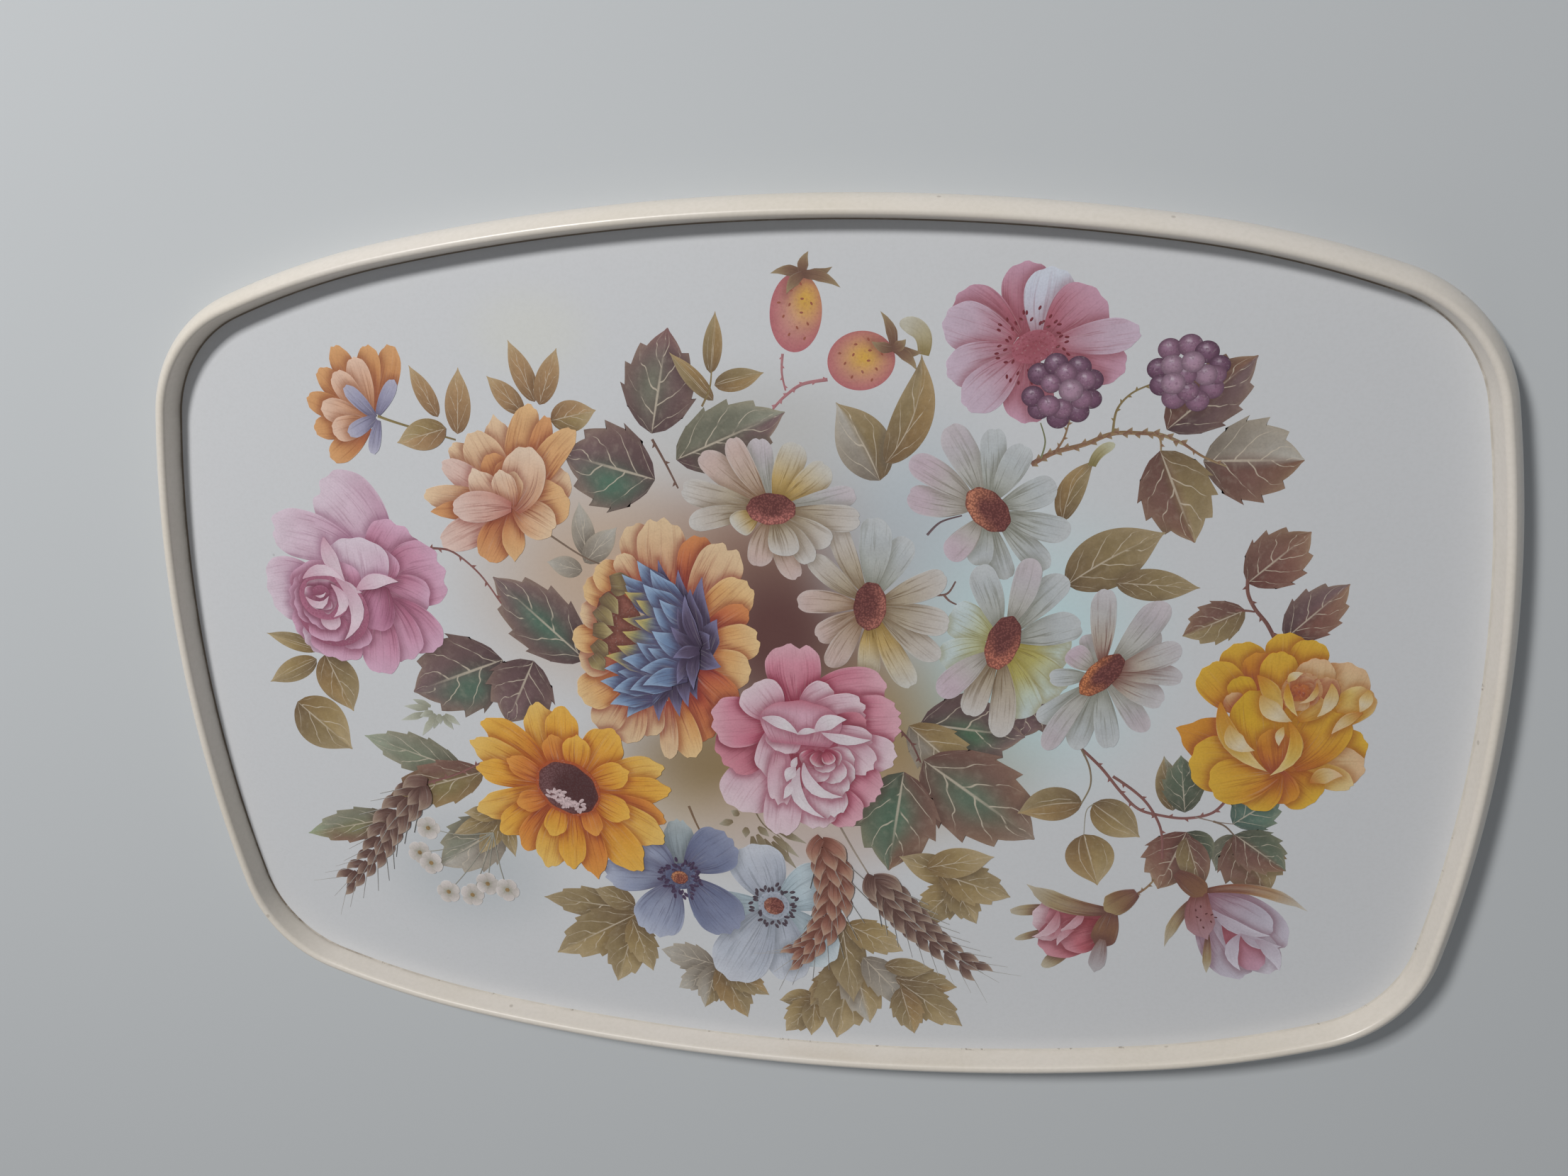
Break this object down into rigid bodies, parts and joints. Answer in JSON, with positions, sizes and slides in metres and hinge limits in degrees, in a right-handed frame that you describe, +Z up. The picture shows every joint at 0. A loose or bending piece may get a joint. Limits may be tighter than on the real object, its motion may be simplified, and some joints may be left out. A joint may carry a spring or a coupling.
{
  "type": "serving tray",
  "caption": "Oblong serving tray with bowed sides: moulded cream plastic rim around a flat white laminate panel printed with a bouquet of garden and wild flowers.",
  "frame": {"origin": "middle of the tray's footprint, on the surface it stands on", "axes": "+X along the tray's length, +Y along its width, +Z up"},
  "size_m": [0.4694, 0.3234, 0.016],
  "materials": {
    "rim_plastic": "satin cream moulded plastic, slightly aged",
    "face_laminate": "smooth satin white laminate",
    "board": "raw brown hardboard",
    "backing_laminate": "matt cream laminate with a fine pebble",
    "glue": "dried amber glue",
    "flower_print": "printed flowers in many colours under a thin satin varnish"
  },
  "bodies": {
    "root": {"rim": "rim_plastic", "printed_face": "face_laminate", "core_board": "board", "backing_sheet": "backing_laminate", "glue_bead": "glue", "flower_transfer": "flower_print"}
  },
  "joints": []
}
